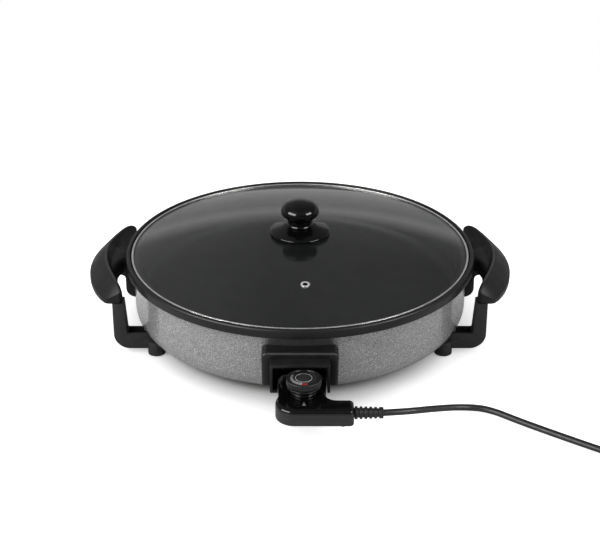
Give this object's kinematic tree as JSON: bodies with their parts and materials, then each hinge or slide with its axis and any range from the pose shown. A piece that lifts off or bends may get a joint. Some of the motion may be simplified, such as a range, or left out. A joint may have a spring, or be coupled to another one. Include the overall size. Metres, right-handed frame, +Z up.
{
  "type": "electric grill pan",
  "caption": "Round double-walled electric grill pan on legs with crescent grips, a lift-off glass lid, a plug-in thermostat with dial and probe, and a mains cord.",
  "frame": {"origin": "bottom centre of the box around the pan and its thermostat, without the cord", "axes": "+X to the right, through both grips; +Y to the back, away from the thermostat; +Z up"},
  "size_m": [0.741, 0.5601, 0.1565],
  "materials": {
    "nonstick": "satin non-stick coating on cast aluminium",
    "hammered_grey": "hammered grey lacquer on pressed metal",
    "sheet_steel": "plain sheet",
    "steel": "plated",
    "element_sheath": "dark oxidised sheath",
    "ceramic": "unglazed ceramic",
    "black_phenolic": "satin black moulding",
    "gloss_black": "gloss black moulding",
    "rubber": "matt black rubber",
    "silicone": "black silicone",
    "cord_black": "smooth black cord sheath",
    "core_plastic": "insulated cores",
    "glass": "clear tempered glass",
    "polished_steel": "polished steel",
    "contact_metal": "plain spring metal",
    "plug_metal": "plated plug pins"
  },
  "bodies": {
    "pan": {"inner_pan": "nonstick", "outer_shell": "hammered_grey", "bottom_cover": "sheet_steel", "cover_screws": "steel", "heating_element": "element_sheath", "element_clips": "sheet_steel", "probe_guide": "sheet_steel", "pin_carrier": "sheet_steel", "line_pins": "steel", "pin_insulators": "ceramic", "earth_pin": "steel", "socket_housing": "black_phenolic", "socket_collar": "black_phenolic", "socket_screws": "steel", "leg_front_left": "black_phenolic", "foot_pad_front_left": "rubber", "leg_rear_left": "black_phenolic", "foot_pad_rear_left": "rubber", "grip_left": "black_phenolic", "leg_front_right": "black_phenolic", "foot_pad_front_right": "rubber", "leg_rear_right": "black_phenolic", "foot_pad_rear_right": "rubber", "grip_right": "black_phenolic", "foot_screws": "steel", "grip_studs": "steel", "stay_screws": "steel"},
    "lid": {"lid_glass": "glass", "lid_band": "polished_steel", "vent_eyelet": "polished_steel", "knob_flange": "black_phenolic", "lid_knob": "black_phenolic", "knob_screw": "steel", "knob_seal": "silicone", "glass_washer": "sheet_steel"},
    "thermostat": {"thermostat_lower_case": "black_phenolic", "thermostat_upper_case": "black_phenolic", "thermostat_cover": "gloss_black", "connector_head": "black_phenolic", "contact_tubes": "contact_metal", "earth_tube": "contact_metal", "probe": "steel", "switch_block": "ceramic", "bimetal_strip": "contact_metal", "contact_leaf": "contact_metal", "lead_wires": "core_plastic", "case_screws": "steel", "dial_bezel": "black_phenolic", "strain_relief": "rubber", "cord_tube": "cord_black", "cord_coil": "cord_black", "cord_tail": "cord_black", "plug_body": "gloss_black", "plug_pins": "plug_metal"},
    "dial": {"dial_knob": "black_phenolic", "dial_insert": "gloss_black", "dial_spindle": "steel"}
  },
  "joints": [
    {"name": "lid_lift", "type": "slide", "parent": "pan", "child": "lid", "axis": [0, 0, 1], "range_m": [0, 0.12]},
    {"name": "thermostat_pull", "type": "slide", "parent": "pan", "child": "thermostat", "axis": [0, -1, 0], "range_m": [0, 0.115]},
    {"name": "dial_turn", "type": "hinge", "parent": "thermostat", "child": "dial", "pos_m": [0.004, -0.2136, 0.05], "axis": [0, 0, -1], "range_deg": [0, 270]}
  ]
}
